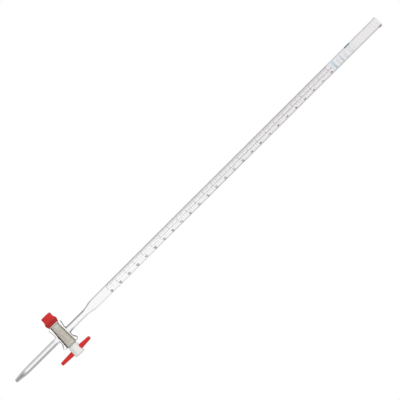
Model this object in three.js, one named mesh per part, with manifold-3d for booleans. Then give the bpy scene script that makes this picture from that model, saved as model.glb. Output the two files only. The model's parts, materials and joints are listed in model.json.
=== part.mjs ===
// A 25 ml burette with a PTFE stopcock, in millimetres, +Z up.
// The origin is the centre of the orifice at the very bottom of the delivery jet. The tube's axis is the
// Z axis, the stopcock's axis runs along X with its nut on -X and its handle on +X, and the graduations
// face -Y. At rest the stopcock is open, with its handle along the tube.
import * as THREE from "three";
import { mergeVertices } from "three/addons/utils/BufferGeometryUtils.js";
import Module from "manifold-3d";

const wasm = await Module();
wasm.setup();

// Heights along the tube.
const TOTAL_HEIGHT = 600;
const KEY_HEIGHT = 79.5; // the stopcock's axis
const BOSS_REACH = 12.5; // from the stopcock's axis to the joint with the jet and to that with the stem
const SHOULDER_BOTTOM = 118;
const SHOULDER_TOP = 131;
const TIP_TAPER_HEIGHT = 20;

// Glass radii.
const TUBE_OUTER = 6.1;
const TUBE_BORE = 4.68; // 25 ml take 363 mm of this bore
const RIM_OUTER = 6.45;
const RIM_HEIGHT = 3;
const STEM_OUTER = 3.9;
const STEM_BORE = 2.5;
const JET_OUTER = 3.8;
const JET_BORE = 1.4;
const TIP_OUTER = 2.15;
const TIP_BORE = 0.5;
const PORT_BORE = 1.5;
const BOSS_FLARE = 5.3;

// The stopcock's barrel, along X.
const BARREL_NUT_END = -14.2;
const BARREL_HANDLE_END = 14.6;
const WAIST_OUTER = 8.1;
const WAIST_HALF = 6; // the waist reaches this far either way from the tube's axis
const NUT_FLARE = 9.3;
const HANDLE_FLARE = 10.8;
const BORE_AT_NUT = 5.6; // the bore tapers gently, so the nut can pull the plug home
const BORE_AT_HANDLE = 6.9;

// The plug. It turns in the bore with a running clearance.
const RUNNING_CLEARANCE = 0.08;
const PLUG_PORT = 1.25;
const NECK_RADIUS = 5.7;
const HEAD_START = 17.3;
const HEAD_END = 29.2;
const HEAD_RADIUS = 6.4;
const EDGE_ROUND = 0.5;
const SPIGOT_END = -26.5;

// The spigot's right-hand thread, which the nut runs on.
const THREAD_PITCH = 2;
const THREAD_MAJOR = 4;
const THREAD_MINOR = 3.3;
const THREAD_CLEARANCE = 0.15;
const THREAD_SEGMENTS = 18;

// The T-handle's bar, which is pressed through the head.
const BAR_X = 23.3;
const BAR_MIDDLE = 2.95;
const BAR_TIP = 2.1;
const BAR_HOLE = 3.03;
const BAR_DOWN = 25.3;
const BAR_UP = 21.6;

// The thrust pieces between the barrel and the nut, and the nut.
const THRUST_GAP = 0.05;
const WASHER_THICKNESS = 1;
const WASHER_OUTER = 6.6;
const WASHER_HOLE = 4.3;
const RING_SECTION = 0.9;
const RING_RADIUS = 5;
const NUT_START = -15.4;
const NUT_END = -29.2;
const NUT_FLOOR = -27.4; // the nut's threaded hole stops here, so its outer end is closed
const GRIP_RADIUS = 6.65;
const SKIRT_RADIUS = 8.2;
const NUT_RECESS = 6.2;
const NUT_RECESS_END = -17.4;
const NUT_RIBS = 30;
const RIB_DEPTH = 0.28;
const RIBBED_FROM = 6.45; // only the skin outside this radius is ribbed

const TUBE_SEGMENTS = 36;
const BORE_SEGMENTS = 36; // the barrel's bore and the plug that turns in it
const SMALL_SEGMENTS = 24;
const PORT_SEGMENTS = 16;

const borosilicate = { color: 0xe9efee, roughness: 0.05, metalness: 0, transparent: true, opacity: 0.45 };
const COLOURS = {
  glass: borosilicate,
  ptfe: { color: 0xeeebe6, roughness: 0.45, metalness: 0 },
  red_plastic: { color: 0xcf2a28, roughness: 0.4, metalness: 0 },
  rubber: { color: 0x2b2a29, roughness: 0.8, metalness: 0 },
};

// ---- Shape helpers ----

const point = (radius, along) => new THREE.Vector2(radius, along);

// Points on a round stretch of a profile, from angle "from" to angle "to" in degrees.
function round(radius, along, size, from, to, steps = 4) {
  const made = [];
  for (let i = 0; i <= steps; i++) {
    const angle = THREE.MathUtils.degToRad(from + ((to - from) * i) / steps);
    made.push(point(radius + size * Math.cos(angle), along + size * Math.sin(angle)));
  }
  return made;
}

// Points on an S-shaped stretch that leaves and arrives along the axis.
function easing(from, to, steps) {
  const made = [];
  for (let i = 0; i <= steps; i++) {
    const share = i / steps;
    const eased = share * share * (3 - 2 * share);
    made.push(point(from.x + (to.x - from.x) * eased, from.y + (to.y - from.y) * share));
  }
  return made;
}

// A closed geometry with its shared vertices merged and no face that has collapsed to a line.
function cleaned(geometry) {
  const bare = new THREE.BufferGeometry();
  bare.setAttribute("position", geometry.getAttribute("position"));
  bare.setIndex(geometry.index);
  const merged = mergeVertices(bare, 1e-4);
  const index = merged.index.array;
  const kept = [];
  for (let i = 0; i < index.length; i += 3) {
    const [a, b, c] = [index[i], index[i + 1], index[i + 2]];
    if (a !== b && b !== c && c !== a) kept.push(a, b, c);
  }
  merged.setIndex(kept);
  return merged;
}

function solidOf(geometry) {
  const closed = cleaned(geometry);
  const mesh = new wasm.Mesh({
    numProp: 3,
    vertProperties: closed.getAttribute("position").array,
    triVerts: new Uint32Array(closed.index.array),
  });
  return new wasm.Manifold(mesh);
}

function geometryOf(solid) {
  const { vertProperties, triVerts } = solid.getMesh();
  const geometry = new THREE.BufferGeometry();
  geometry.setAttribute("position", new THREE.BufferAttribute(vertProperties, 3));
  geometry.setIndex(new THREE.BufferAttribute(triVerts, 1));
  geometry.computeVertexNormals();
  return geometry;
}

// Solids of revolution: a profile of (radius, along) points turned about the Z axis or the X axis.
function turnedUpright(profile, segments) {
  return new THREE.LatheGeometry(profile, segments).rotateX(Math.PI / 2);
}

function turnedSideways(profile, segments) {
  return new THREE.LatheGeometry(profile, segments).rotateZ(-Math.PI / 2);
}

// A ring-shaped profile closes on itself.
const ring = (profile) => [...profile, profile[0].clone()];

// A round rod from one place on its axis to another, with its radius at each.
function rodProfile(start, end, radiusStart, radiusEnd = radiusStart) {
  return [point(0, start), point(radiusStart, start), point(radiusEnd, end), point(0, end)];
}

// A rod along X with a right-hand thread. The section gives the thread's four corners within one pitch,
// as shares of the pitch with radii. The rod's skewed ends are cut square at "start" and "end".
function threadedRod(section, start, end) {
  const turns = Math.ceil((end - start) / THREAD_PITCH) + 3;
  const last = turns * THREAD_SEGMENTS;
  const low = Math.floor(start / THREAD_PITCH - 1) * THREAD_PITCH;
  const corners = section.length;
  const positions = [];
  const faces = [];
  for (let i = 0; i <= last; i++) {
    const angle = (2 * Math.PI * i) / THREAD_SEGMENTS;
    for (const [share, radius] of section) {
      const along = low + THREAD_PITCH * (i / THREAD_SEGMENTS + share);
      positions.push(along, radius * Math.cos(angle), radius * Math.sin(angle));
    }
  }
  const at = (i, k) => (k === corners ? (i + THREAD_SEGMENTS) * corners : i * corners + k);
  const bottom = positions.length / 3;
  const top = bottom + 1;
  positions.push(low, 0, 0, low + THREAD_PITCH * (turns + 1), 0, 0);
  for (let i = 0; i < last; i++) {
    for (let k = 0; k < corners; k++) {
      if (k === corners - 1 && i + THREAD_SEGMENTS >= last) continue;
      faces.push(at(i, k), at(i + 1, k), at(i + 1, k + 1));
      faces.push(at(i, k), at(i + 1, k + 1), at(i, k + 1));
    }
  }
  const rim = last - THREAD_SEGMENTS;
  for (let i = 0; i < THREAD_SEGMENTS; i++) {
    faces.push(at(i + 1, 0), at(i, 0), bottom);
    faces.push(at(rim + i, corners - 1), at(rim + i + 1, corners - 1), top);
  }
  for (let k = 0; k < corners; k++) faces.push(at(0, k), at(0, k + 1), bottom);
  for (let k = 0; k < corners - 1; k++) faces.push(at(last, k + 1), at(last, k), top);
  faces.push(at(last, 0), at(rim, corners - 1), top);
  const geometry = new THREE.BufferGeometry();
  geometry.setAttribute("position", new THREE.Float32BufferAttribute(positions, 3));
  geometry.setIndex(faces);
  const ends = turnedSideways(rodProfile(start, end, THREAD_MAJOR * 2), THREAD_SEGMENTS);
  return solidOf(geometry).intersect(solidOf(ends));
}

const bodyRadius = (x) => {
  const share = (x - BARREL_NUT_END) / (BARREL_HANDLE_END - BARREL_NUT_END);
  return BORE_AT_NUT + share * (BORE_AT_HANDLE - BORE_AT_NUT);
};

function piece(name, geometry, look) {
  const mesh = new THREE.Mesh(geometry, new THREE.MeshStandardMaterial(COLOURS[look]));
  mesh.name = name;
  return mesh;
}

// ---- Glass ----

// The measuring tube: its bore, and a slightly thickened, fire-polished rim with a flat top.
function graduatedTube() {
  const rimBase = TOTAL_HEIGHT - RIM_HEIGHT;
  const edge = 0.4;
  const profile = ring([
    point(TUBE_OUTER, SHOULDER_TOP),
    point(TUBE_OUTER, rimBase - 2),
    ...easing(point(TUBE_OUTER, rimBase - 1), point(RIM_OUTER, rimBase + 1.5), 3),
    ...round(RIM_OUTER - edge, TOTAL_HEIGHT - edge, edge, 0, 90, 3),
    ...round(TUBE_BORE + edge, TOTAL_HEIGHT - edge, edge, 90, 180, 2),
    point(TUBE_BORE, SHOULDER_TOP),
  ]);
  return piece("graduated_tube", cleaned(turnedUpright(profile, TUBE_SEGMENTS)), "glass");
}

// The narrow stem below the measuring tube, with the shoulder drawn between them.
function shoulderStem() {
  const bottom = KEY_HEIGHT + BOSS_REACH;
  const profile = ring([
    point(STEM_OUTER, bottom),
    ...easing(point(STEM_OUTER, SHOULDER_BOTTOM), point(TUBE_OUTER, SHOULDER_TOP), 7),
    ...easing(point(STEM_BORE, SHOULDER_BOTTOM), point(TUBE_BORE, SHOULDER_TOP), 7).reverse(),
    point(STEM_BORE, bottom + 4),
    point(PORT_BORE, bottom),
  ]);
  return piece("shoulder_stem", cleaned(turnedUpright(profile, TUBE_SEGMENTS)), "glass");
}

// One of the barrel's two side tubes, flaring where it is fused to the barrel. It points up.
function boss(endRadius) {
  const profile = [
    point(0, 0),
    point(BOSS_FLARE, 0),
    point(BOSS_FLARE, WAIST_OUTER - 1),
    ...easing(point(BOSS_FLARE, WAIST_OUTER - 1), point(endRadius, BOSS_REACH - 0.8), 4).slice(1),
    point(endRadius, BOSS_REACH),
    point(0, BOSS_REACH),
  ];
  return turnedUpright(profile, SMALL_SEGMENTS);
}

// The stopcock's barrel: waisted, with a small flare at the nut's end and a rolled rim at the handle's.
function stopcockBarrel() {
  const lip = 0.8;
  const rim = 2; // the rolled rim's radius
  const outer = turnedSideways(
    [
      point(0, BARREL_NUT_END),
      ...round(NUT_FLARE - lip, BARREL_NUT_END + lip, lip, -90, 0, 3),
      ...easing(point(NUT_FLARE, BARREL_NUT_END + 2.5), point(WAIST_OUTER, -WAIST_HALF), 4),
      ...easing(point(WAIST_OUTER, WAIST_HALF), point(HANDLE_FLARE, BARREL_HANDLE_END - rim - 1), 5),
      ...round(HANDLE_FLARE - rim, BARREL_HANDLE_END - rim, rim, 0, 90, 4),
      point(0, BARREL_HANDLE_END),
    ],
    BORE_SEGMENTS,
  );
  const slope = (BORE_AT_HANDLE - BORE_AT_NUT) / (BARREL_HANDLE_END - BARREL_NUT_END);
  const past = 1;
  const bore = turnedSideways(
    rodProfile(
      BARREL_NUT_END - past,
      BARREL_HANDLE_END + past,
      BORE_AT_NUT - slope * past,
      BORE_AT_HANDLE + slope * past,
    ),
    BORE_SEGMENTS,
  );
  const upperBoss = boss(STEM_OUTER);
  const lowerBoss = boss(JET_OUTER).rotateX(Math.PI);
  const port = turnedUpright(rodProfile(-BOSS_REACH - past, BOSS_REACH + past, PORT_BORE), PORT_SEGMENTS);
  const solid = solidOf(outer)
    .add(solidOf(upperBoss))
    .add(solidOf(lowerBoss))
    .subtract(solidOf(bore))
    .subtract(solidOf(port));
  return piece("stopcock_barrel", geometryOf(solid), "glass");
}

// The delivery jet: thick-walled tubing drawn down to a fine, rounded tip.
function deliveryJet() {
  const edge = 0.9;
  const profile = ring([
    point(TIP_BORE, 0),
    ...round(TIP_OUTER - edge, edge, edge, -90, 0, 3),
    ...easing(point(TIP_OUTER + 0.1, 3), point(JET_OUTER, TIP_TAPER_HEIGHT), 5),
    point(JET_OUTER, KEY_HEIGHT - BOSS_REACH),
    point(JET_BORE, KEY_HEIGHT - BOSS_REACH),
    ...easing(point(TIP_BORE, 5), point(JET_BORE, TIP_TAPER_HEIGHT + 3), 4).reverse(),
  ]);
  return piece("delivery_jet", cleaned(turnedUpright(profile, SMALL_SEGMENTS)), "glass");
}

// ---- The plug and its handle ----

// One PTFE turning: threaded spigot, tapered body with its cross bore, neck, and head with a cross hole.
function ptfePlug() {
  const bodyStart = BARREL_NUT_END + 0.4;
  const bodyEnd = BARREL_HANDLE_END + 0.2;
  const body = turnedSideways(
    [
      point(0, bodyStart),
      point(bodyRadius(bodyStart) - RUNNING_CLEARANCE, bodyStart),
      point(bodyRadius(BARREL_HANDLE_END) - RUNNING_CLEARANCE, BARREL_HANDLE_END),
      point(bodyRadius(BARREL_HANDLE_END) - RUNNING_CLEARANCE, bodyEnd),
      point(NECK_RADIUS, bodyEnd + 0.4),
      point(NECK_RADIUS, HEAD_START),
      ...round(HEAD_RADIUS - EDGE_ROUND, HEAD_START + EDGE_ROUND, EDGE_ROUND, -90, 0, 2),
      ...round(HEAD_RADIUS - EDGE_ROUND, HEAD_END - EDGE_ROUND, EDGE_ROUND, 0, 90, 2),
      point(0, HEAD_END),
    ],
    BORE_SEGMENTS,
  );
  const section = [
    [0, THREAD_MINOR],
    [0.35, THREAD_MINOR],
    [0.5, THREAD_MAJOR],
    [0.85, THREAD_MAJOR],
  ];
  const spigot = threadedRod(section, SPIGOT_END, bodyStart + 1);
  const port = turnedUpright(rodProfile(-WAIST_OUTER, WAIST_OUTER, PLUG_PORT), PORT_SEGMENTS);
  const hole = turnedUpright(rodProfile(-WAIST_OUTER, WAIST_OUTER, BAR_HOLE), SMALL_SEGMENTS);
  hole.translate(BAR_X, 0, 0);
  const solid = solidOf(body).add(spigot).subtract(solidOf(port)).subtract(solidOf(hole));
  return piece("ptfe_plug", geometryOf(solid), "ptfe");
}

// The T-handle's bar tapers from the middle to two rounded ends; the end towards the jet is the longer.
function handleBar() {
  const profile = [
    ...round(0, BAR_TIP - BAR_DOWN, BAR_TIP, -90, 0, 5),
    point(BAR_MIDDLE, -HEAD_RADIUS),
    point(BAR_MIDDLE, HEAD_RADIUS),
    ...round(0, BAR_UP - BAR_TIP, BAR_TIP, 0, 90, 5),
  ];
  profile[0].x = 0;
  profile.at(-1).x = 0;
  const bar = piece("handle_bar", cleaned(turnedUpright(profile, SMALL_SEGMENTS)), "red_plastic");
  bar.position.x = BAR_X;
  return bar;
}

// ---- Thrust pieces and nut ----

// The flat PTFE washer that bears on the barrel's end.
function sealingWasher() {
  const profile = ring([
    point(WASHER_HOLE, 0),
    point(WASHER_OUTER, 0),
    point(WASHER_OUTER, WASHER_THICKNESS),
    point(WASHER_HOLE, WASHER_THICKNESS),
  ]);
  const washer = piece("sealing_washer", cleaned(turnedSideways(profile, SMALL_SEGMENTS)), "ptfe");
  washer.position.x = BARREL_NUT_END - THRUST_GAP - WASHER_THICKNESS;
  return washer;
}

// The rubber ring that springs the nut against the washer, held in the nut's recess.
function thrustRing() {
  const section = round(RING_RADIUS, 0, RING_SECTION, 0, 360, 10);
  section[section.length - 1] = section[0].clone();
  const rubber = piece("thrust_o_ring", cleaned(turnedSideways(section, SMALL_SEGMENTS)), "rubber");
  rubber.position.x = BARREL_NUT_END - 2 * THRUST_GAP - WASHER_THICKNESS - RING_SECTION;
  return rubber;
}

// The nut's skin: a narrow grip, a fuller skirt, and fine ribs along it.
function nutSkin() {
  const edge = 0.6;
  const profile = [
    point(0, NUT_END),
    ...round(GRIP_RADIUS - edge, NUT_END + edge, edge, -90, 0, 2),
    ...easing(point(GRIP_RADIUS, NUT_END + 5), point(SKIRT_RADIUS, NUT_END + 8.5), 4),
    ...easing(point(SKIRT_RADIUS, NUT_START - 2.6), point(SKIRT_RADIUS - 1, NUT_START), 3),
    point(0, NUT_START),
  ];
  const skin = turnedSideways(profile, NUT_RIBS * 2);
  const spots = skin.getAttribute("position");
  for (let i = 0; i < spots.count; i++) {
    const y = spots.getY(i);
    const z = spots.getZ(i);
    const radius = Math.hypot(y, z);
    const spoke = Math.round((Math.atan2(z, y) * NUT_RIBS) / Math.PI);
    if (radius < RIBBED_FROM || spoke % 2 === 0) continue;
    const share = (radius - RIB_DEPTH) / radius;
    spots.setXYZ(i, spots.getX(i), y * share, z * share);
  }
  return skin;
}

function retainingNut() {
  const wide = THREAD_CLEARANCE / THREAD_PITCH;
  const section = [
    [wide, THREAD_MINOR + THREAD_CLEARANCE],
    [0.35 - wide, THREAD_MINOR + THREAD_CLEARANCE],
    [0.5 - wide, THREAD_MAJOR + THREAD_CLEARANCE],
    [0.85 + wide, THREAD_MAJOR + THREAD_CLEARANCE],
  ];
  const thread = threadedRod(section, NUT_FLOOR, NUT_START + 1);
  const recess = turnedSideways(rodProfile(NUT_RECESS_END, NUT_START + 1, NUT_RECESS), SMALL_SEGMENTS);
  const solid = solidOf(nutSkin()).subtract(thread).subtract(solidOf(recess));
  return piece("retaining_nut", geometryOf(solid), "red_plastic");
}

// ---- Assembly ----

const key = new THREE.Group();
key.add(ptfePlug(), handleBar());

const fastening = new THREE.Group();
fastening.add(sealingWasher(), thrustRing(), retainingNut());

const stopcock = new THREE.Group();
stopcock.position.z = KEY_HEIGHT;
stopcock.add(stopcockBarrel(), key, fastening);

const burette = new THREE.Group();
burette.name = "burette";
burette.add(graduatedTube(), shoulderStem(), deliveryJet(), stopcock);

export default burette;
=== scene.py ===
# The looks of a 25 ml burette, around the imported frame. Lengths in the tables below are in
# millimetres; everything handed to Blender is in metres. The tube's axis is Z, the stopcock's is X,
# and the graduations face -Y.
import json
import math

import bmesh
import bpy
from mathutils import Matrix, Vector

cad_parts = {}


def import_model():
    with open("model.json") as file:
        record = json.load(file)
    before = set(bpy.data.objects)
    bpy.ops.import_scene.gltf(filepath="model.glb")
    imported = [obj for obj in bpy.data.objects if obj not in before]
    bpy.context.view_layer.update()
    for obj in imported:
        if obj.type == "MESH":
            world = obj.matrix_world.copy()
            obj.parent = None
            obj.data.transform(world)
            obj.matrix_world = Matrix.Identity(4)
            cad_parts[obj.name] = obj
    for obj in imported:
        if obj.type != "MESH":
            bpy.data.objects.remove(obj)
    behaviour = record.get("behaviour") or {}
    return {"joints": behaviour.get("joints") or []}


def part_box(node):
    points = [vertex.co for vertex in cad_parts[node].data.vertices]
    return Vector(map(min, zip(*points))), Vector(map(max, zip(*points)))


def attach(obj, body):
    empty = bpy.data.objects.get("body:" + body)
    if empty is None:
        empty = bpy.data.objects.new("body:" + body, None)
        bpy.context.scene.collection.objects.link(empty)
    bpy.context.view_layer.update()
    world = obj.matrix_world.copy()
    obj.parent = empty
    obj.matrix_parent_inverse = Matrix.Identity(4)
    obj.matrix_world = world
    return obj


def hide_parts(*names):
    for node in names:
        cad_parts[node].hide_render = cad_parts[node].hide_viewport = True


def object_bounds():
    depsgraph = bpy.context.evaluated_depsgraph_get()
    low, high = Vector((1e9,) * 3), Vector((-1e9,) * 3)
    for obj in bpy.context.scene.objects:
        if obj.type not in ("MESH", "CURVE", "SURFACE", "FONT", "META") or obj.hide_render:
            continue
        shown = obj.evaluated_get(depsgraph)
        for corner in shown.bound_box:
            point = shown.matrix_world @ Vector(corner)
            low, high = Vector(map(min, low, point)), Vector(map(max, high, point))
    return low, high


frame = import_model()
cad_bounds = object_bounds()

MM = 0.001
KEY = next(j for j in frame["joints"] if j["name"] == "plug_turn")["pos_m"][2] / MM
TUBE_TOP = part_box("graduated_tube")[1].z / MM
BARREL_LOW, BARREL_HIGH = (corner.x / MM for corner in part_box("stopcock_barrel"))
PLUG_LOW, PLUG_HIGH = (corner.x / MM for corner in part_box("ptfe_plug"))
NUT_LOW, NUT_HIGH = (corner.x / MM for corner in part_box("retaining_nut"))
BAR_LOW, BAR_HIGH = (corner.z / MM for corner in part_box("handle_bar"))
BAR_X = sum(corner.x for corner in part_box("handle_bar")) / 2 / MM

# ---- The glass: radii and heights ----
TUBE_OUTER = 6.1
TUBE_BORE = 4.68
STEM_OUTER = 3.9
STEM_BORE = 2.5
JET_OUTER = 3.8
JET_BORE = 1.4
PORT_BORE = 1.5
WAIST_OUTER = 8.1
BORE_AT_NUT = 5.6
BORE_AT_HANDLE = 6.9
AROUND = 16  # control points round every ring of the glass cage
CAGE = 3 / (2 + math.cos(2 * math.pi / AROUND))  # a control ring's radius for a limit radius of 1
OUTER_BLOCK = 5.6  # half the patch on the barrel that each side tube grows from
INNER_BLOCK = 4.4
SEAT_FROM = 2.0  # the side tubes' own bores, narrower than this, are not part of the plug's seat

# Each wall's painted edge darkness, in place of the glass's refraction: how edge-on it is, from 0
# to 1, where it begins to look dark, how much light passes where it is darkest, and how gradually
# it gets there. A thick wall begins early.
WALL_TUBE = (0.34, 0.74, 0.12)
WALL_SHOULDER = (0.28, 0.66, 0.12)
WALL_STEM = (0.13, 0.6, 0.12)
WALL_JET = (0.05, 0.64, 0.12)
WALL_BARREL = (0.46, 0.08, 0.3)
WALL_ROLL = (0.62, 0.4, 0.2)
WALL_FILLET = (0.3, 0.4, 0.14)
WALL_BORE = (0.8, 0.8, 0.12)
WALL_RIM = (0.3, 0.6, 0.12)
NO_WALL = (1.0, 1.0, 0.12)

# ---- The plug, its handle and the nut ----
RUNNING_CLEARANCE = 0.08
PLUG_PORT = 1.25
NECK_RADIUS = 5.7
HEAD_START = 17.3
HEAD_RADIUS = 6.4
THREAD_PITCH = 2.0
THREAD_STEP = THREAD_PITCH / 16  # between the rings of points that the thread is shaped from
THREAD_MINOR = 3.3
THREAD_MAJOR = 4.0
THREAD_CLEARANCE = 0.15
BAR_MIDDLE = 2.95
BAR_TIP = 2.1
BAR_EDGE = 1.2
SEAM_HEIGHT = 0.04
GRIP_RADIUS = 6.65
SKIRT_RADIUS = 8.2
NUT_FLOOR = -27.4
NUT_RECESS = 6.2
NUT_RECESS_END = -17.4
NUT_RIBS = 30
RIB_DEPTH = 0.42

# ---- The print ----
SCALE_ZERO = 521.1  # height of the 0 ml graduation
ML = 14.51  # height of one millilitre of the bore
CAPACITY = 25
INK_LIFT = 0.03
INK_THICKNESS = 0.04
TICK_START = -84.0  # degrees round the tube from the front, as for all the print
# Which tenths of a millilitre have the line, the angle where it ends, and half its height.
TICKS = ((10, 10.0, 0.17), (5, -13.0, 0.15), (1, -22.0, 0.13))
NUMBER_ANGLE = 44.0
NUMBER_SIZE = 4.1
NUMBER_RISE = 0.3  # how far a number's foot stands above its line
NUMBER_BOLDNESS = 0.14
WHITE_STRIPE = (169.0, 197.0)
BLUE_LINE = (180.8, 185.2)
PALE_OVER = 160.0  # the height in which the blue line runs out
DASH_ROWS = (561.6, 558.0, 556.4, 554.8, 549.8, 548.2, 546.6, 538.0, 536.4, 526.6)
DASH_SPANS = ((-28.0, -6.0), (0.0, 22.0), (28.0, 52.0))
DASH_HEIGHT = 0.6


# ---- Mesh helpers ----


def add_mesh(name, vertices, faces, sharp_from=35.0):
    """A mesh object from points in millimetres, with smooth faces and sharp edges past an angle."""
    mesh = bpy.data.meshes.new(name)
    mesh.from_pydata([Vector(v) * MM for v in vertices], [], faces)
    build = bmesh.new()
    build.from_mesh(mesh)
    bmesh.ops.recalc_face_normals(build, faces=build.faces)
    build.to_mesh(mesh)
    build.free()
    mesh.polygons.foreach_set("use_smooth", [True] * len(mesh.polygons))
    if sharp_from is not None:
        mesh.set_sharp_from_angle(angle=math.radians(sharp_from))
    made = bpy.data.objects.new(name, mesh)
    bpy.context.scene.collection.objects.link(made)
    return made


def arc(radius, along, size, start, end, steps=6):
    """Profile points (radius, along) on a round corner, from one angle to another in degrees."""
    turned = [math.radians(start + (end - start) * i / steps) for i in range(steps + 1)]
    return [(radius + size * math.cos(t), along + size * math.sin(t)) for t in turned]


def ease(start, end, steps=8):
    """Profile points on an S-shaped stretch that leaves and arrives along the axis."""
    made = []
    for i in range(steps + 1):
        share = i / steps
        eased = share * share * (3 - 2 * share)
        radius = start[0] + (end[0] - start[0]) * eased
        made.append((radius, start[1] + (end[1] - start[1]) * share))
    return made


def line(start, end, step):
    """Profile points on a straight stretch, no further apart than step."""
    count = max(1, math.ceil(math.hypot(end[0] - start[0], end[1] - start[1]) / step))
    return [
        (start[0] + (end[0] - start[0]) * i / count, start[1] + (end[1] - start[1]) * i / count)
        for i in range(count + 1)
    ]


def turned(profile, segments, place, shape=None, closed=False):
    """Vertices and faces of a solid of revolution. place(radius, along, angle) gives the point, and
    shape(radius, along, angle) may change the radius first."""
    vertices, faces, rows = [], [], []
    for radius, along in profile:
        if radius < 1e-6:
            rows.append([len(vertices)] * segments)
            vertices.append(place(0.0, along, 0.0))
            continue
        rows.append(list(range(len(vertices), len(vertices) + segments)))
        for i in range(segments):
            angle = 2 * math.pi * i / segments
            vertices.append(place(shape(radius, along, angle) if shape else radius, along, angle))
    pairs = list(zip(rows, rows[1:] + rows[:1])) if closed else list(zip(rows, rows[1:]))
    for low, high in pairs:
        for i in range(segments):
            k = (i + 1) % segments
            corners = list(dict.fromkeys((low[i], low[k], high[k], high[i])))
            if len(corners) > 2:
                faces.append(corners)
    return vertices, faces


def along_x(radius, along, angle):
    """A point round the stopcock's axis, with the angle counted from straight up."""
    return (along, radius * math.sin(angle), KEY + radius * math.cos(angle))


def along_z(x, z):
    """The same round an upright axis at x, with heights counted from z."""

    def place(radius, along, angle):
        return (x + radius * math.cos(angle), radius * math.sin(angle), z + along)

    return place


def cut(piece, cutter):
    """Takes the cutter out of the piece for good."""
    modifier = piece.modifiers.new("cut", "BOOLEAN")
    modifier.object = cutter
    modifier.operation = "DIFFERENCE"
    modifier.solver = "EXACT"
    apply_modifiers(piece)
    bpy.data.objects.remove(cutter)
    piece.data.set_sharp_from_angle(angle=math.radians(35))


def apply_modifiers(piece):
    graph = bpy.context.evaluated_depsgraph_get()
    made = bpy.data.meshes.new_from_object(piece.evaluated_get(graph))
    piece.modifiers.clear()
    old = piece.data
    piece.data = made
    bpy.data.meshes.remove(old)
    made.name = piece.name


# ---- Material helpers ----


def add_node(tree, kind, inputs=None, **settings):
    """A new node. An input is either a fixed value or another node's output to link."""
    node = tree.nodes.new(kind)
    for key, value in settings.items():
        setattr(node, key, value)
    for key, value in (inputs or {}).items():
        if isinstance(value, bpy.types.NodeSocket):
            tree.links.new(value, node.inputs[key])
        else:
            node.inputs[key].default_value = value
    return node


class Nodes:
    """Short names for building one material's node tree."""

    def __init__(self, name):
        self.material = bpy.data.materials.new(name)
        self.material.use_nodes = True
        self.tree = self.material.node_tree
        self.tree.nodes.clear()
        self.output = self.add("ShaderNodeOutputMaterial")

    def add(self, kind, inputs=None, **settings):
        return add_node(self.tree, kind, inputs, **settings)

    def math(self, operation, a, b=0.0, clamp=False):
        node = self.add("ShaderNodeMath", {0: a, 1: b}, operation=operation, use_clamp=clamp)
        return node.outputs[0]

    def fade(self, value, low, high, start=0.0, end=1.0, smooth=True):
        """Goes from start to end while value goes from low to high."""
        kind = "SMOOTHSTEP" if smooth else "LINEAR"
        inputs = {"Value": value, "From Min": low, "From Max": high, "To Min": start, "To Max": end}
        return self.add("ShaderNodeMapRange", inputs, interpolation_type=kind).outputs[0]

    def blend(self, share, a, b):
        """Colour a where share is 0, and b where it is 1."""
        node = self.add("ShaderNodeMix", data_type="RGBA", clamp_factor=True)
        for key, value in (("Factor", share), ("A", a), ("B", b)):
            socket = next(s for s in node.inputs if s.name == key and s.enabled)
            if isinstance(value, bpy.types.NodeSocket):
                self.tree.links.new(value, socket)
            else:
                socket.default_value = value
        return next(s for s in node.outputs if s.enabled)

    def place(self):
        """The point on the object, in millimetres, with Z from the stopcock's axis."""
        coordinates = self.add("ShaderNodeTexCoord").outputs["Object"]
        scaled = self.add(
            "ShaderNodeVectorMath",
            {0: coordinates, 1: (1 / MM, 1 / MM, 1 / MM), 2: (0, 0, -KEY)},
            operation="MULTIPLY_ADD",
        )
        return scaled.outputs[0]

    def split(self, vector):
        return self.add("ShaderNodeSeparateXYZ", {0: vector}).outputs

    def stretched(self, vector, scale):
        node = self.add("ShaderNodeVectorMath", {0: vector, 1: scale}, operation="MULTIPLY")
        return node.outputs[0]

    def noise(self, vector, scale, detail=2.0, rough=0.5):
        inputs = {"Vector": vector, "Scale": scale, "Detail": detail, "Roughness": rough}
        return self.add("ShaderNodeTexNoise", inputs).outputs["Fac"]

    def bump(self, height, strength, distance):
        """A normal from a height texture. distance is in millimetres."""
        inputs = {"Height": height, "Strength": strength, "Distance": distance * MM}
        return self.add("ShaderNodeBump", inputs).outputs[0]

    def finish(self, shader):
        self.tree.links.new(shader, self.output.inputs["Surface"])
        return self.material


def srgb(red, green, blue):
    """A screen colour given 0 to 255, as the linear colour that sockets take."""
    screen = (red / 255, green / 255, blue / 255)
    linear = [c / 12.92 if c <= 0.04045 else ((c + 0.055) / 1.055) ** 2.4 for c in screen]
    return (*linear, 1.0)


# ---- Materials ----


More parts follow.
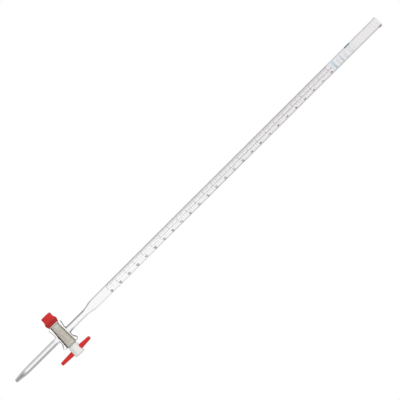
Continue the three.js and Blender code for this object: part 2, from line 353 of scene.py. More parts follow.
def glass_material():
    """Clear borosilicate. A wall seen edge-on is painted dark, as far in from the outline as its
    thickness makes it, in place of the glass's refraction, and the lower rim of the bore holds a
    line of painted shade under the plug."""
    n = Nodes("borosilicate")
    where = n.place()
    x, _, z = n.split(where)
    wall, shade, spread, inside, seat = (
        n.add("ShaderNodeAttribute", attribute_name=name).outputs["Fac"]
        for name in ("wall", "shade", "spread", "inside", "seat")
    )
    # Painted shade: walls seen edge-on are darkened towards their shade value, in place of
    # refraction.
    facing = n.add("ShaderNodeLayerWeight", {"Blend": 0.5}).outputs["Facing"]
    edge = n.fade(n.math("SUBTRACT", facing, wall), 0.0, spread)
    # In the photograph the two sides are unequally dark, and change with height. That is placed by
    # position on the glass, so it stays there in every view.
    # Painted shade: the walls' edge darkness is weakened or strengthened by side and height, and
    # weakened under the barrel.
    to_right = n.fade(x, -1.5, 1.5)
    left = n.math("MULTIPLY", n.fade(z, -12.0, 4.0, 0.68, 1.0), n.fade(z, 512.0, 517.0, 1.0, 0.6))
    right = n.math("MULTIPLY", n.fade(z, 11.0, 17.0, 1.0, 0.45), n.fade(z, 60.0, 320.0, 1.0, 2.25))
    right = n.math("MULTIPLY", right, n.fade(z, 320.0, 400.0, 1.0, 1.5))
    side = n.add("ShaderNodeMix", {0: to_right, 2: left, 3: right}).outputs[0]
    low_side = n.math("MULTIPLY", n.fade(z, -6.0, -8.0), n.fade(z, -13.0, -11.0))
    side = n.math("MULTIPLY", side, n.fade(low_side, 0.0, 1.0, 1.0, 0.5))
    edge = n.math("MULTIPLY", edge, side, clamp=True)
    # Painted shade: the tube's inside darkens with height from 60 mm above the stopcock, in uneven
    # streaks.
    body = n.fade(z, 60.0, 420.0)
    streaks = n.noise(n.stretched(where, (0.6, 0.6, 0.01)), 1.0, 3.0)
    height_shade = n.math("MULTIPLY", body, n.fade(streaks, 0.3, 0.7, 0.8, 1.0))
    clear_inside = n.blend(height_shade, (0.985, 0.985, 0.985, 1), (0.905, 0.893, 0.895, 1))
    clear = n.blend(inside, (0.994, 0.994, 0.994, 1), clear_inside)
    # Painted shade: the jet is tinted grey towards its tip, fully so in its lowest 10 mm.
    clear = n.blend(n.fade(z, 18.0 - KEY, 10.0 - KEY), clear, (0.72, 0.72, 0.725, 1))
    dark = n.blend(shade, (0, 0, 0, 1), (1, 1, 1.01, 1))
    tint = n.blend(edge, clear, dark)
    # Painted shade: a dark brown line along the lower rim of the bore, under the plug.
    bore = n.add("ShaderNodeMath", {0: x, 1: 0.045, 2: 6.25}, operation="MULTIPLY_ADD").outputs[0]
    height = n.math("DIVIDE", z, bore)
    under = n.math("MULTIPLY", n.fade(height, -0.47, -0.58), n.fade(facing, 0.15, 0.3))
    tint = n.blend(n.math("MULTIPLY", under, seat), tint, (0.05, 0.035, 0.025, 1))
    # Painted shade: a grey line along the upper rim of the bore, over the plug.
    over = n.math("MULTIPLY", n.fade(height, 0.86, 0.93), n.fade(facing, 0.15, 0.3))
    tint = n.blend(n.math("MULTIPLY", over, seat), tint, (0.7, 0.68, 0.66, 1))
    # Painted shade: a dark spot at the right end of the rim, where it is seen edge-on.
    rim_end = n.math("MULTIPLY", n.fade(x, 4.4, 5.6), n.fade(z, 516.0, 518.0))
    rim_end = n.math("MULTIPLY", rim_end, n.fade(facing, 0.35, 0.65))
    tint = n.blend(rim_end, tint, (0.25, 0.23, 0.25, 1))
    gloss = n.fade(n.math("POWER", facing, 4.0), 0.0, 1.0, 0.025, 0.1, smooth=False)
    clear_shader = n.add("ShaderNodeBsdfTransparent", {"Color": tint}).outputs[0]
    glossy = n.add("ShaderNodeBsdfGlossy", {"Color": (1, 1, 1, 1), "Roughness": 0.05}).outputs[0]
    return n.finish(n.add("ShaderNodeMixShader", {0: gloss, 1: clear_shader, 2: glossy}).outputs[0])


def ptfe_material():
    """Turned PTFE: milky white, with fine tool marks. Where the tapered body runs in the glass, and
    at the neck's start, it is painted a darker beige as shade, less so towards the body's two ends."""
    n = Nodes("turned_ptfe")
    where = n.place()
    x, y, z = n.split(where)
    radius = n.math("SQRT", n.math("ADD", n.math("MULTIPLY", y, y), n.math("MULTIPLY", z, z)))
    marks = n.noise(n.add("ShaderNodeCombineXYZ", {0: x, 1: radius}).outputs[0], 3.5, 3.0)
    cloud = n.noise(where, 0.22, 3.0)
    # Painted shade: the body in the glass and the neck's start, to 16.5 mm, are a darker beige,
    # less so towards the body's two ends.
    in_barrel = n.math("MULTIPLY", n.fade(x, -15.0, -14.4), n.fade(x, 16.5, 16.2))
    white = n.blend(cloud, srgb(234, 233, 229), srgb(224, 223, 219))
    painted_shade_beige = n.blend(cloud, srgb(199, 190, 179), srgb(183, 174, 163))
    pale = n.blend(cloud, srgb(199, 199, 188), srgb(186, 187, 175))
    painted_shade_beige = n.blend(n.math("MAXIMUM", n.fade(x, -8.0, -9.4), n.fade(x, 11.4, 12.8)), painted_shade_beige, pale)
    colour = n.blend(in_barrel, white, painted_shade_beige)
    colour = n.blend(n.fade(marks, 0.3, 0.75, 0.0, 0.06), colour, srgb(176, 170, 160))
    bsdf = n.add(
        "ShaderNodeBsdfPrincipled",
        {
            "Base Color": colour,
            "Roughness": n.fade(marks, 0.2, 0.8, 0.42, 0.56),
            "IOR": 1.35,
            "Specular IOR Level": 0.35,
            "Normal": n.bump(marks, 0.12, 0.02),
        },
    )
    return n.finish(bsdf.outputs[0])


def red_material():
    """Moulded red plastic: a slightly pebbled skin, paler where hands have rubbed it, with painted
    shade in the grooves between ribs."""
    n = Nodes("moulded_red")
    where = n.place()
    x = n.split(where)[0]
    pebble = n.noise(where, 3.2, 4.0, 0.6)
    cloud = n.noise(where, 0.16, 2.0)
    bevel = n.add("ShaderNodeBevel", {"Radius": 0.5 * MM}, samples=4).outputs[0]
    smooth = n.add("ShaderNodeNewGeometry").outputs["Normal"]
    alike = n.add("ShaderNodeVectorMath", {0: bevel, 1: smooth}, operation="DOT_PRODUCT")
    edge = n.fade(alike.outputs["Value"], 0.995, 0.93)
    colour = n.blend(cloud, srgb(206, 32, 32), srgb(218, 44, 40))
    colour = n.blend(n.math("MULTIPLY", edge, 0.3), colour, srgb(238, 104, 94))
    # Painted shade: the rib grooves are darkened, more strongly towards the nut's end by the
    # barrel.
    groove = n.add("ShaderNodeAttribute", attribute_name="groove").outputs["Fac"]
    groove_shade = n.math("MULTIPLY", groove, n.fade(x, -24.0, -19.0, 0.3, 1.0))
    colour = n.blend(groove_shade, colour, srgb(112, 8, 8))
    bsdf = n.add(
        "ShaderNodeBsdfPrincipled",
        {
            "Base Color": colour,
            "Roughness": n.fade(pebble, 0.3, 0.7, 0.32, 0.46),
            "Specular IOR Level": 0.3,
            "Normal": n.bump(pebble, 0.1, 0.03),
        },
    )
    return n.finish(bsdf.outputs[0])


def rubber_material():
    """Black rubber with a fine dull grain."""
    n = Nodes("black_rubber")
    where = n.place()
    grain = n.noise(where, 6.0, 3.0)
    bsdf = n.add(
        "ShaderNodeBsdfPrincipled",
        {
            "Base Color": n.blend(grain, srgb(38, 37, 36), srgb(58, 56, 54)),
            "Roughness": n.fade(grain, 0.3, 0.7, 0.55, 0.75),
            "Normal": n.bump(grain, 0.3, 0.05),
        },
    )
    return n.finish(bsdf.outputs[0])


def ink_material(name, thin, thick, glow=0.0, pale_below=None):
    """Fired ceramic ink, uneven in thickness as a screen print is. glow is a painted glow: light
    the ink gives off of its own, standing in for the light a milky enamel lets through from behind.
    pale_below is a height where the colour runs out."""
    n = Nodes(name)
    where = n.place()
    grain = n.noise(where, 2.4, 3.0, 0.6)
    colour = n.blend(n.fade(grain, 0.3, 0.7), thin, thick)
    if pale_below is not None:
        height = n.split(where)[2]
        full = n.fade(height, pale_below, pale_below + PALE_OVER)
        colour = n.blend(full, srgb(238, 238, 240), colour)
    bsdf = n.add(
        "ShaderNodeBsdfPrincipled",
        {
            "Base Color": colour,
            "Roughness": 0.45,
            # Painted glow: the ink gives off light of its own, as strong as glow.
            "Emission Color": (1, 1, 1, 1),
            "Emission Strength": glow,
            "Normal": n.bump(grain, 0.25, 0.02),
        },
    )
    return n.finish(bsdf.outputs[0])


# ---- The glass body ----


def bore_radius(x):
    """The barrel's tapered bore."""
    share = (x - BARREL_LOW) / (BARREL_HIGH - BARREL_LOW)
    return BORE_AT_NUT + share * (BORE_AT_HANDLE - BORE_AT_NUT)


def waist_radius(_):
    return WAIST_OUTER


def square_step(m):
    """Where step m of 16 round a 4 by 4 patch stands along the patch's first side, from -2 to 2."""
    m %= AROUND
    return max(-2, min(2, 4 - min(m, AROUND - m)))


class GlassCage:
    """Control points of the glass: rings round X for the barrel, and loops round Z that grow out of
    a patch on its top and its bottom. Each point has its wall's look, and seat is 1 in the bore."""

    def __init__(self):
        self.points, self.faces = [], []
        self.wall, self.shade, self.spread, self.seat = [], [], [], []

    def add(self, point, wall, seat=0.0):
        self.points.append(point)
        self.wall.append(wall[0])
        self.shade.append(wall[1])
        self.spread.append(wall[2])
        self.seat.append(seat)
        return len(self.points) - 1

    def bridge(self, low, high):
        for i in range(AROUND):
            k = (i + 1) % AROUND
            self.faces.append((low[i], low[k], high[k], high[i]))

    def shell(self, before, block, after, waist, upper, lower, wall, seat=0.0):
        """One skin, outer or inner. before and after are (x, radius, wall) rings on each side of
        the patch of half width block. waist(x) is the radius in it. upper and lower are loops."""
        mid = [(block * k / 2, waist(block * k / 2), wall) for k in range(-2, 3)]
        rings = before + mid + after
        first = len(before)
        index = {}
        for k, (x, radius, ring_wall) in enumerate(rings):
            for j in range(AROUND):
                offset = min(j % 8, 8 - j % 8)
                if first < k < first + 4 and offset < 2:
                    continue
                angle = 2 * math.pi * j / AROUND
                reach = radius * CAGE
                point = (x, reach * math.sin(angle), KEY + reach * math.cos(angle))
                index[k, j] = self.add(point, ring_wall, seat)
        for k in range(len(rings) - 1):
            for j in range(AROUND):
                j2 = (j + 1) % AROUND
                corners = ((k, j), (k, j2), (k + 1, j2), (k + 1, j))
                patch = first <= k < first + 4 and j % 8 in (6, 7, 0, 1)
                if not patch:
                    self.faces.append([index[c] for c in corners])
        ends = []
        for side, loops in ((1, upper), (-1, lower)):
            turn = 0 if side > 0 else AROUND // 2
            row = [
                index[first + 2 + square_step(m), (square_step(m - 4) + turn) % AROUND]
                for m in range(AROUND)
            ]
            for loop in loops:
                made = self.loop(loop, side, waist(0.0) * CAGE, seat)
                self.bridge(row, made)
                row = made
            ends.append(row)
        first_ring, last_ring = ([index[k, j] for j in range(AROUND)] for k in (0, len(rings) - 1))
        return [first_ring, last_ring] + ends

    def loop(self, loop, side, barrel, seat):
        """A loop (radius, height, drape, wall): drape 1 lies on the barrel, raised by height, and
        drape 0 is flat at that height from the stopcock's axis."""
        radius, height, drape, wall = loop
        made = []
        for m in range(AROUND):
            angle = 2 * math.pi * m / AROUND
            x, y = radius * CAGE * math.cos(angle), radius * CAGE * math.sin(angle)
            on_barrel = math.sqrt(barrel * barrel - y * y) + height
            reach = drape * on_barrel + (1 - drape) * height
            in_seat = seat * drape if radius > SEAT_FROM else 0.0
            made.append(self.add((x, side * y, KEY + side * reach), wall, in_seat))
        return made


def tube_loops(outer):
    """Loops from the barrel's top up the stem, the shoulder and the tube to the rim."""
    top = TUBE_TOP - KEY
    stem, tube = (STEM_OUTER, TUBE_OUTER) if outer else (STEM_BORE, TUBE_BORE)
    walls = (WALL_STEM, WALL_SHOULDER, WALL_TUBE) if outer else (NO_WALL,) * 3
    stem_wall, shoulder_wall, tube_wall = walls
    if outer:
        loops = [(5.0, 0.0, 1, WALL_BARREL), (4.5, 0.3, 1, WALL_FILLET)]
        loops += [(4.2, 9.6, 0, WALL_FILLET), (4.1, 11.0, 0, WALL_STEM), (4.05, 13.5, 0, WALL_STEM)]
    else:
        loops = [(3.2, 0.0, 1, WALL_BORE), (2.1, 0.0, 1, WALL_BORE), (1.65, 0.35, 1, WALL_BORE)]
        opening = ((PORT_BORE, 8.2), (PORT_BORE, 11.5), (1.7, 13.2), (2.35, 15.6))
        loops += [(radius, z, 0, NO_WALL) for radius, z in opening]
    loops += [(stem, z, 0, stem_wall) for z in (17.5, 26.0, 34.5, 38.0)]
    for share, z in ((0.14, 41.2), (0.5, 45.1), (0.86, 48.9)):
        loops.append((stem + (tube - stem) * share, z, 0, shoulder_wall))
    heights = (52.2, 56.0, 180.0, 300.0, 420.0, top - 8.0, top - 4.2)
    loops += [(tube, z, 0, tube_wall) for z in heights]
    if outer:
        rim = ((6.46, 2.3), (6.55, 1.1), (6.35, 0.2), (5.7, -0.1))
        return loops + [(radius, top - drop, 0, WALL_RIM) for radius, drop in rim]
    rim = ((4.68, 1.6, NO_WALL), (4.72, 0.5, NO_WALL), (5.05, 0.0, WALL_RIM))
    return loops + [(radius, top - drop, 0, wall) for radius, drop, wall in rim]


def jet_loops(outer):
    """Loops from the barrel's underside down the jet to the orifice."""
    if outer:
        loops = [(4.9, 0.0, 1, WALL_BARREL), (4.35, 0.3, 1, WALL_FILLET)]
        loops += [(4.0, 9.6, 0, WALL_FILLET), (3.85, 11.0, 0, WALL_JET), (3.8, 13.5, 0, WALL_JET)]
        shaft = [(JET_OUTER, height) for height in (63.5, 49.5, 33.5, 22.5)]
        tip = [(3.68, 17.0), (3.1, 10.5), (2.5, 5.5), (2.26, 3.0)]
        tip += [(2.2, 1.6), (2.05, 0.5), (1.5, 0.0)]
        wall = WALL_JET
    else:
        loops = [(3.2, 0.0, 1, WALL_BORE), (2.1, 0.0, 1, WALL_BORE), (1.65, 0.35, 1, WALL_BORE)]
        loops += [(PORT_BORE, 8.2, 0, NO_WALL), (1.45, 12.0, 0, NO_WALL)]
        shaft = [(JET_BORE, height) for height in (59.5, 39.5, 24.5)]
        tip = [(1.28, 18.0), (0.9, 11.5), (0.56, 5.5), (0.5, 2.0), (0.52, 0.6), (0.8, 0.05)]
        wall = NO_WALL
    return loops + [(radius, KEY - height, 0, wall) for radius, height in shaft + tip]


def glass_body(material):
    """The whole fused glass body as one closed skin."""
    cage = GlassCage()
    low, high = BARREL_LOW, BARREL_HIGH
    nut_end = [(low, 6.6, NO_WALL), (low, 8.6, NO_WALL)]
    nut_flare = ((0.35, 9.3), (1.4, 9.38), (3.2, 9.1), (5.4, 8.45), (7.3, 8.15))
    nut_end += [(low + reach, radius, WALL_BARREL) for reach, radius in nut_flare]
    handle_flare = ((6.9, 8.15), (8.5, 8.6), (9.9, 9.5), (11.2, 10.45), (12.4, 10.85))
    handle_end = [(x, radius, WALL_BARREL) for x, radius in handle_flare]
    handle_roll = ((13.5, 10.7), (14.3, 9.9), (high + 0.05, 8.8), (high + 0.05, 7.6))
    handle_end += [(x, radius, WALL_ROLL) for x, radius in handle_roll]
    outer = cage.shell(
        nut_end,
        OUTER_BLOCK,
        handle_end,
        waist_radius,
        tube_loops(True),
        jet_loops(True),
        WALL_BARREL,
    )
    places = (-12.2, -9.4, -6.8, 6.8, 9.4, 12.2, high - 0.6)
    straight = [(x, bore_radius(x), WALL_BORE) for x in places]
    inner = cage.shell(
        [(low + 0.02, 5.85, NO_WALL), (low + 0.35, 5.62, NO_WALL)] + straight[:3],
        INNER_BLOCK,
        straight[3:] + [(high - 0.1, 7.0, NO_WALL)],
        bore_radius,
        tube_loops(False),
        jet_loops(False),
        WALL_BORE,
        seat=1.0,
    )
    for outer_end, inner_end in zip(outer, inner):
        cage.bridge(outer_end, inner_end)
    body = add_mesh("burette_glass", cage.points, cage.faces, sharp_from=None)
    in_tube = (TUBE_OUTER + TUBE_BORE) / 2 * CAGE
    inside = [float(z > KEY + 45 and math.hypot(x, y) < in_tube) for x, y, z in cage.points]
    for name, values in (
        ("wall", cage.wall),
        ("shade", cage.shade),
        ("spread", cage.spread),
        ("inside", inside),
        ("seat", cage.seat),
    ):
        body.data.attributes.new(name, "FLOAT", "POINT").data.foreach_set("value", values)
    subdivide = body.modifiers.new("smooth", "SUBSURF")
    subdivide.levels = subdivide.render_levels = 2
    apply_modifiers(body)
    body.data.materials.append(material)
    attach(body, "glass")
    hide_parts("graduated_tube", "shoulder_stem", "stopcock_barrel", "delivery_jet")


# ---- The print on the glass ----


def on_tube(angle, z, lift):
    """A point over the tube at an angle in degrees from the front, positive towards the handle."""
    reach = TUBE_OUTER + lift
    turn = math.radians(angle)
    return (reach * math.sin(turn), -reach * math.cos(turn), z)


def wrapped_bar(start, end, low, high, lift=INK_LIFT, thickness=INK_THICKNESS, step=6.0):
    """A thin closed bar that lies round the tube, between two angles and two heights."""
    count = max(1, math.ceil((end - start) / step))
    over = lift + thickness
    vertices, faces = [], []
    for i in range(count + 1):
        angle = start + (end - start) * i / count
        for z, level in ((low, lift), (high, lift), (high, over), (low, over)):
            vertices.append(on_tube(angle, z, level))
    for i in range(count):
        for k in range(4):
            a, b = 4 * i + k, 4 * i + (k + 1) % 4
            faces.append((a, b, b + 4, a + 4))
    faces.append((0, 1, 2, 3))
    faces.append(tuple(4 * count + k for k in (3, 2, 1, 0)))
    return vertices, faces


def joined(parts):
    """Several (vertices, faces) as one."""
    vertices, faces = [], []
    for part_vertices, part_faces in parts:
        base = len(vertices)
        vertices += part_vertices
        faces += [tuple(i + base for i in face) for face in part_faces]
    return vertices, faces


def printed(name, parts, material):
    """One piece of print, which rides on the glass."""
    vertices, faces = joined(parts)
    piece = add_mesh(name, vertices, faces, sharp_from=35)
    piece.data.materials.append(material)
    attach(piece, "glass")
    return piece


def scale_ticks(material):
    """A line for every tenth of a millilitre, longer at the halves and longest at the wholes."""
    parts = []
    for i in range(CAPACITY * 10 + 1):
        z = SCALE_ZERO - i * ML / 10
        end, half = next((end, half) for every, end, half in TICKS if i % every == 0)
        parts.append(wrapped_bar(TICK_START, end, z - half, z + half))
    printed("scale_ticks", parts, material)


def glyphs(text, size):
    """The outline of a number as flat vertices and faces, centred, in millimetres."""
    curve = bpy.data.curves.new("glyphs", "FONT")
    curve.body = text
    curve.size = size
    curve.align_x = "CENTER"
    curve.extrude = INK_THICKNESS / 2
    curve.offset = NUMBER_BOLDNESS
    curve.resolution_u = 4
    holder = bpy.data.objects.new("glyphs", curve)
    bpy.context.scene.collection.objects.link(holder)
    graph = bpy.context.evaluated_depsgraph_get()
    mesh = bpy.data.meshes.new_from_object(holder.evaluated_get(graph))
    build = bmesh.new()
    build.from_mesh(mesh)
    bmesh.ops.remove_doubles(build, verts=build.verts, dist=1e-4)
    bmesh.ops.triangulate(build, faces=build.faces)
    long_edges = [e for e in build.edges if e.calc_length() > 0.9]
    bmesh.ops.subdivide_edges(build, edges=long_edges, cuts=1)
    bmesh.ops.triangulate(build, faces=build.faces)
    build.verts.index_update()
    vertices = [tuple(v.co) for v in build.verts]
    faces = [tuple(v.index for v in f.verts) for f in build.faces]
    build.free()
    bpy.data.objects.remove(holder)
    bpy.data.curves.remove(curve)
    bpy.data.meshes.remove(mesh)
    return vertices, faces


def scale_numbers(material):
    """The millilitres in figures, wrapped round the tube beside their lines."""
    parts = []
    for number in range(CAPACITY + 1):
        vertices, faces = glyphs(str(number), NUMBER_SIZE)
        base = SCALE_ZERO - number * ML + NUMBER_RISE
        wrapped = [
            on_tube(NUMBER_ANGLE + math.degrees(x / TUBE_OUTER), base + y, 2 * INK_LIFT + depth)
            for x, y, depth in vertices
        ]
        parts.append((wrapped, faces))
    printed("scale_numbers", parts, material)


def back_stripe(white, blue):
    """The milk-white stripe fused into the back of the tube, with its narrow blue line in front."""
    low, high = SCALE_ZERO - CAPACITY * ML - 6.0, SCALE_ZERO + 3.0
    printed("stripe_white", [wrapped_bar(*WHITE_STRIPE, low, high, -0.36, 0.26, 2.0)], white)
    printed("stripe_blue", [wrapped_bar(*BLUE_LINE, low, high, -0.42, 0.06, 2.0)], blue)


def maker_marks(dark, light):
    """A plain block, two bars and even rows of dashes where a maker's print would be. They follow
    none of the print's own figures or wording."""
    printed("mark_dark", [wrapped_bar(-78.0, -44.0, 551.7, 559.5)], dark)
    bars = [wrapped_bar(-28.0, 52.0, 541.2, 543.4), wrapped_bar(-78.0, 68.0, 529.6, 532.8)]
    dashes = [
        wrapped_bar(start, end, row, row + DASH_HEIGHT)
        for row in DASH_ROWS
        for start, end in DASH_SPANS
    ]
    printed("mark_light", bars + dashes, light)


# ---- The plug, its handle, and the thrust pieces ----


def thread(minor, major):
    """A right-hand trapezoidal thread, cut where the profile's radius is the major radius."""

    def shape(radius, along, angle):
        if abs(radius - major) > 0.01:
            return radius
        share = (along / THREAD_PITCH + angle / (2 * math.pi)) % 1.0
        height = min(1.0, max(0.0, min(share - 0.35, 1.0 - share) / 0.15))
        return minor + (major - minor) * height

    return shape


def plug_radius(x):
    return bore_radius(x) - RUNNING_CLEARANCE


def ptfe_plug(material):
    """The plug: threaded spigot, tapered body, neck with a relief groove, and head."""
    body_low = BARREL_LOW + 0.03
    body_high = BARREL_HIGH + 0.2
    profile = [(0, PLUG_LOW), (THREAD_MINOR - 0.5, PLUG_LOW)]
    profile += line((THREAD_MAJOR, PLUG_LOW + 0.1), (THREAD_MAJOR, body_low - 0.4), THREAD_STEP)
    profile += [(plug_radius(body_low) - 0.5, body_low)]
    profile += arc(plug_radius(body_low) - 0.1, body_low + 0.1, 0.1, -90, 0, 4)
    taper_low, taper_high = body_low + 0.6, BARREL_HIGH
    profile += line((plug_radius(taper_low), taper_low), (plug_radius(taper_high), taper_high), 1.2)
    profile += [(plug_radius(BARREL_HIGH), body_high - 0.2)]
    profile += arc(plug_radius(BARREL_HIGH) - 0.3, body_high - 0.05, 0.25, 20, 90, 4)
    profile += [(NECK_RADIUS, body_high + 0.4), (NECK_RADIUS, body_high + 0.95)]
    profile += [(NECK_RADIUS - 0.7, body_high + 1.05), (NECK_RADIUS - 0.7, body_high + 1.5)]
    profile += [(NECK_RADIUS, body_high + 1.6), (NECK_RADIUS, HEAD_START - 0.15)]
    profile += [(NECK_RADIUS + 0.15, HEAD_START)]
    profile += arc(HEAD_RADIUS - 0.5, HEAD_START + 0.5, 0.5, -80, 0, 5)
    profile += line((HEAD_RADIUS, HEAD_START + 0.8), (HEAD_RADIUS, PLUG_HIGH - 0.8), 1.5)
    profile += arc(HEAD_RADIUS - 0.6, PLUG_HIGH - 0.6, 0.6, 0, 90, 6)
    dish = PLUG_HIGH - 0.12
    profile += [(4.6, PLUG_HIGH), (4.4, dish), (1.0, dish), (0, dish)]
    vertices, faces = turned(profile, 72, along_x, thread(THREAD_MINOR, THREAD_MAJOR))
    plug = add_mesh("plug", vertices, faces)
    port = turned([(0, -9), (PLUG_PORT, -9), (PLUG_PORT, 9), (0, 9)], 32, along_z(0, KEY))
    cut(plug, add_mesh("port", *port))
    hole_radius = BAR_MIDDLE + 0.05
    hole = turned([(0, -9), (hole_radius, -9), (hole_radius, 9), (0, 9)], 48, along_z(BAR_X, KEY))
    cut(plug, add_mesh("hole", *hole))
    plug.data.materials.append(material)
    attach(plug, "plug")
    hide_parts("ptfe_plug")


def handle_bar(material):
    """The bar tapers from the head to two rounded ends, with a moulding seam along each side."""
    low, high = BAR_LOW - KEY, BAR_HIGH - KEY
    profile = [(0, low)] + arc(BAR_TIP - BAR_EDGE, low + BAR_EDGE, BAR_EDGE, -90, 0, 8)
    profile += line((BAR_TIP + 0.02, low + BAR_EDGE + 0.6), (BAR_MIDDLE, -HEAD_RADIUS - 0.2), 1.6)
    profile += [(BAR_MIDDLE, -HEAD_RADIUS + 0.3), (BAR_MIDDLE, HEAD_RADIUS - 0.3)]
    profile += line((BAR_MIDDLE, HEAD_RADIUS + 0.2), (BAR_TIP + 0.02, high - BAR_EDGE - 0.6), 1.6)
    profile += arc(BAR_TIP - BAR_EDGE, high - BAR_EDGE, BAR_EDGE, 0, 90, 8) + [(0, high)]

    def seam(radius, along, angle):
        from_side = abs(math.sin(angle))
        on_arm = abs(along) > HEAD_RADIUS + 0.5 and radius > 1.8
        return radius + (SEAM_HEIGHT if on_arm and from_side < 0.05 else 0.0)

    bar = add_mesh("handle", *turned(profile, 96, along_z(BAR_X, KEY), seam))
    bar.data.materials.append(material)
    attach(bar, "plug")
    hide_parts("handle_bar")


def retaining_nut(material):
    """The ribbed nut: narrow grip, fuller skirt, recess for washer and ring, internal thread."""
    skirt_start = NUT_LOW + 5
    outside = [(0, NUT_LOW + 0.15), (3.0, NUT_LOW + 0.15), (3.4, NUT_LOW), (5.2, NUT_LOW)]
    outside += arc(GRIP_RADIUS - 0.7, NUT_LOW + 0.7, 0.7, -90, 0, 6)
    outside += line((GRIP_RADIUS, NUT_LOW + 1.2), (GRIP_RADIUS, skirt_start - 0.5), 0.8)
    outside += ease((GRIP_RADIUS, skirt_start), (SKIRT_RADIUS, NUT_LOW + 9.2), 10)
    outside += ease((SKIRT_RADIUS, NUT_LOW + 9.8), (SKIRT_RADIUS - 1.1, NUT_HIGH - 0.35), 8)
    outside += arc(SKIRT_RADIUS - 1.5, NUT_HIGH - 0.35, 0.35, 10, 90, 4)
    inside = [(NUT_RECESS + 0.2, NUT_HIGH), (NUT_RECESS, NUT_HIGH - 0.2)]
    inside += [(NUT_RECESS, NUT_RECESS_END), (THREAD_MAJOR + 0.6, NUT_RECESS_END)]
    bore_low = THREAD_MINOR + THREAD_CLEARANCE
    bore_high = THREAD_MAJOR + THREAD_CLEARANCE
    inside += line((bore_high, NUT_RECESS_END - 0.3), (bore_high, NUT_FLOOR + 0.1), THREAD_STEP)
    inside += [(bore_low - 0.4, NUT_FLOOR), (0, NUT_FLOOR)]
    ridged = thread(bore_low, bore_high)

    def shape(radius, along, angle):
        if abs(radius - bore_high) < 0.01:
            return ridged(radius, along, angle)
        if radius > NUT_RECESS + 0.24:
            wave = 0.5 - 0.5 * math.cos(NUT_RIBS * angle)
            reach = min(1.0, (radius - NUT_RECESS - 0.24) / 0.2)
            return radius - RIB_DEPTH * reach * (1 - wave ** 0.6)
        return radius

    nut = add_mesh("nut", *turned(outside + inside, NUT_RIBS * 8, along_x, shape), sharp_from=50)
    # The rib valleys, where the red material paints shade.
    grooves = []
    for vertex in nut.data.vertices:
        y, z = vertex.co.y / MM, vertex.co.z / MM - KEY
        depth = 0.5 + 0.5 * math.cos(NUT_RIBS * math.atan2(y, z))
        grooves.append(depth ** 1.5 if math.hypot(y, z) > NUT_RECESS + 0.02 else 0.0)
    nut.data.attributes.new("groove", "FLOAT", "POINT").data.foreach_set("value", grooves)
    nut.data.materials.append(material)
    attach(nut, "nut")
    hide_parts("retaining_nut")


def thrust_pieces(ptfe, rubber):
    """The washer and the rubber ring between the barrel and the nut."""
    low, high = (corner.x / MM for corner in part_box("sealing_washer"))
    rim = (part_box("sealing_washer")[1].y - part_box("sealing_washer")[0].y) / 2 / MM
    hole = 4.3
    profile = arc(rim - 0.2, high - 0.2, 0.2, 90, 0, 4) + arc(rim - 0.2, low + 0.2, 0.2, 0, -90, 4)
    profile += [(hole + 0.12, low), (hole, low + 0.12), (hole, high - 0.12), (hole + 0.12, high)]
    washer = add_mesh("washer", *turned(profile, 72, along_x, closed=True))
    washer.data.materials.append(ptfe)
    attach(washer, "thrust")
    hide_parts("sealing_washer")
    low, high = (corner.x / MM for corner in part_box("thrust_o_ring"))
    section = (high - low) / 2
    middle = 5.0
    profile = arc(middle, (low + high) / 2, section, 0, 345, 23)
    ring = add_mesh("o_ring", *turned(profile, 64, along_x, closed=True), sharp_from=None)
    ring.data.materials.append(rubber)
    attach(ring, "thrust")
    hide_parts("thrust_o_ring")


# ---- Stage, light and camera ----

FLOOR_SIZE = 80.0
LIGHT_FROM = (-0.38, -0.8, 0.47)
WORLD_LEVELS = (0.24, 1.23)  # on the far side from the light, and towards it
WORLD_IN_GLOSS = 0.85
LAMP_PLACE = (-1.1, -1.6, 1.6)
LAMP_AIM = (0, 0, 0.2)
LAMP_SIZE = 1.8
LAMP_POWER = 9
CAMERA_DISTANCE = 6.6
CAMERA_ELEVATION = math.radians(17.6)
CAMERA_AZIMUTH = math.radians(4.7)
CAMERA_TURN = math.radians(44.86)  # how far the picture is turned from upright
CAMERA_LENS = 530.1
CAMERA_RIGHT = 0.0062  # the aim point, from the object's middle
CAMERA_UP = 0.0043


def floor():
    """A plane just under the jet's tip: white to the camera, pale grey to the light."""
    n = Nodes("floor_white")
    path = n.add("ShaderNodeLightPath").outputs["Is Camera Ray"]
    lit = n.add("ShaderNodeBsdfDiffuse", {"Color": (0.8, 0.8, 0.8, 1)}).outputs[0]
    flat = n.add("ShaderNodeEmission", {"Color": (1, 1, 1, 1), "Strength": 1.0}).outputs[0]
    half = FLOOR_SIZE / 2 / MM
    corners = [(-half, -half, -0.5), (half, -half, -0.5), (half, half, -0.5), (-half, half, -0.5)]
    plane = add_mesh("floor", corners, [(0, 1, 2, 3)])
    surface = n.add("ShaderNodeMixShader", {0: path, 1: lit, 2: flat}).outputs[0]
    plane.data.materials.append(n.finish(surface))


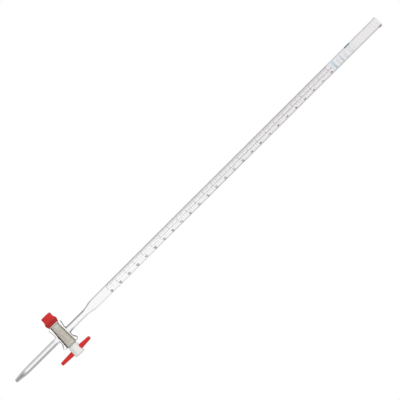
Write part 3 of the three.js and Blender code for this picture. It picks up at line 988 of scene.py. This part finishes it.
def world():
    """White to the camera, nearly white in reflections, and to what it lights a soft grey that is
    brighter from above and in front."""
    made = bpy.data.worlds.new("studio")
    bpy.context.scene.world = made
    made.use_nodes = True
    tree = made.node_tree
    tree.nodes.clear()

    def add(kind, inputs=None, **settings):
        return add_node(tree, kind, inputs, **settings).outputs

    direction = add("ShaderNodeTexCoord")["Generated"]
    towards = add("ShaderNodeVectorMath", {0: direction, 1: LIGHT_FROM}, operation="DOT_PRODUCT")
    low, high = WORLD_LEVELS
    spread = {"Value": towards["Value"], "From Min": -0.9, "To Min": low, "To Max": high}
    level = add("ShaderNodeMapRange", spread)[0]
    soft = add("ShaderNodeBackground", {"Color": (0.98, 0.99, 1.0, 1), "Strength": level})[0]
    bright = add("ShaderNodeBackground", {"Color": (1, 1, 1, 1), "Strength": WORLD_IN_GLOSS})[0]
    white = add("ShaderNodeBackground", {"Color": (1, 1, 1, 1), "Strength": 1.0})[0]
    path = add("ShaderNodeLightPath")
    lit = add("ShaderNodeMixShader", {0: path["Is Glossy Ray"], 1: soft, 2: bright})[0]
    seen = add("ShaderNodeMixShader", {0: path["Is Camera Ray"], 1: lit, 2: white})[0]
    add("ShaderNodeOutputWorld", {0: seen})


def lamp():
    """One large soft lamp, above and to the left of the camera."""
    light = bpy.data.lights.new("key", "AREA")
    light.shape = "RECTANGLE"
    light.size = light.size_y = LAMP_SIZE
    light.energy = LAMP_POWER
    holder = bpy.data.objects.new("key", light)
    holder.location = LAMP_PLACE
    aim = Vector(LAMP_AIM) - Vector(LAMP_PLACE)
    holder.rotation_euler = aim.to_track_quat("-Z", "Y").to_euler()
    holder.visible_camera = False
    bpy.context.scene.collection.objects.link(holder)


def camera():
    """The photograph's view: from a little above and to the right, and turned."""
    low, high = cad_bounds
    middle = (low[2] + high[2]) / 2
    elevation, azimuth, turn = CAMERA_ELEVATION, CAMERA_AZIMUTH, CAMERA_TURN
    back = Vector(
        (
            math.sin(azimuth) * math.cos(elevation),
            -math.cos(azimuth) * math.cos(elevation),
            math.sin(elevation),
        )
    )
    level = Vector((math.cos(azimuth), math.sin(azimuth), 0))
    upright = back.cross(level)
    right = math.cos(turn) * upright + math.sin(turn) * level
    up = math.sin(turn) * upright - math.cos(turn) * level
    aim = Vector((0, 0, middle)) + right * CAMERA_RIGHT + up * CAMERA_UP
    data = bpy.data.cameras.new("camera")
    data.lens = CAMERA_LENS
    data.clip_end = 100
    eye = bpy.data.objects.new("camera", data)
    basis = Matrix((right, up, back)).transposed().to_4x4()
    eye.matrix_world = Matrix.Translation(aim + back * CAMERA_DISTANCE) @ basis
    bpy.context.scene.collection.objects.link(eye)
    bpy.context.scene.camera = eye


# ---- The scene ----

glass_body(glass_material())
ink = ink_material("scale_ink", srgb(82, 78, 92), srgb(56, 52, 66))
scale_ticks(ink)
scale_numbers(ink)
# The white enamel carries a painted glow.
back_stripe(
    ink_material("enamel_white", srgb(250, 250, 248), srgb(240, 240, 240), 0.3),
    ink_material("enamel_blue", srgb(186, 182, 204), srgb(168, 164, 190), pale_below=100.0),
)
maker_marks(
    ink_material("ink_teal_dark", srgb(92, 122, 130), srgb(62, 96, 106)),
    ink_material("ink_teal", srgb(202, 214, 224), srgb(182, 198, 212)),
)
turned_ptfe = ptfe_material()
moulded_red = red_material()
ptfe_plug(turned_ptfe)
handle_bar(moulded_red)
retaining_nut(moulded_red)
thrust_pieces(turned_ptfe, rubber_material())
floor()
world()
lamp()
camera()
bpy.context.scene.view_settings.view_transform = "Standard"
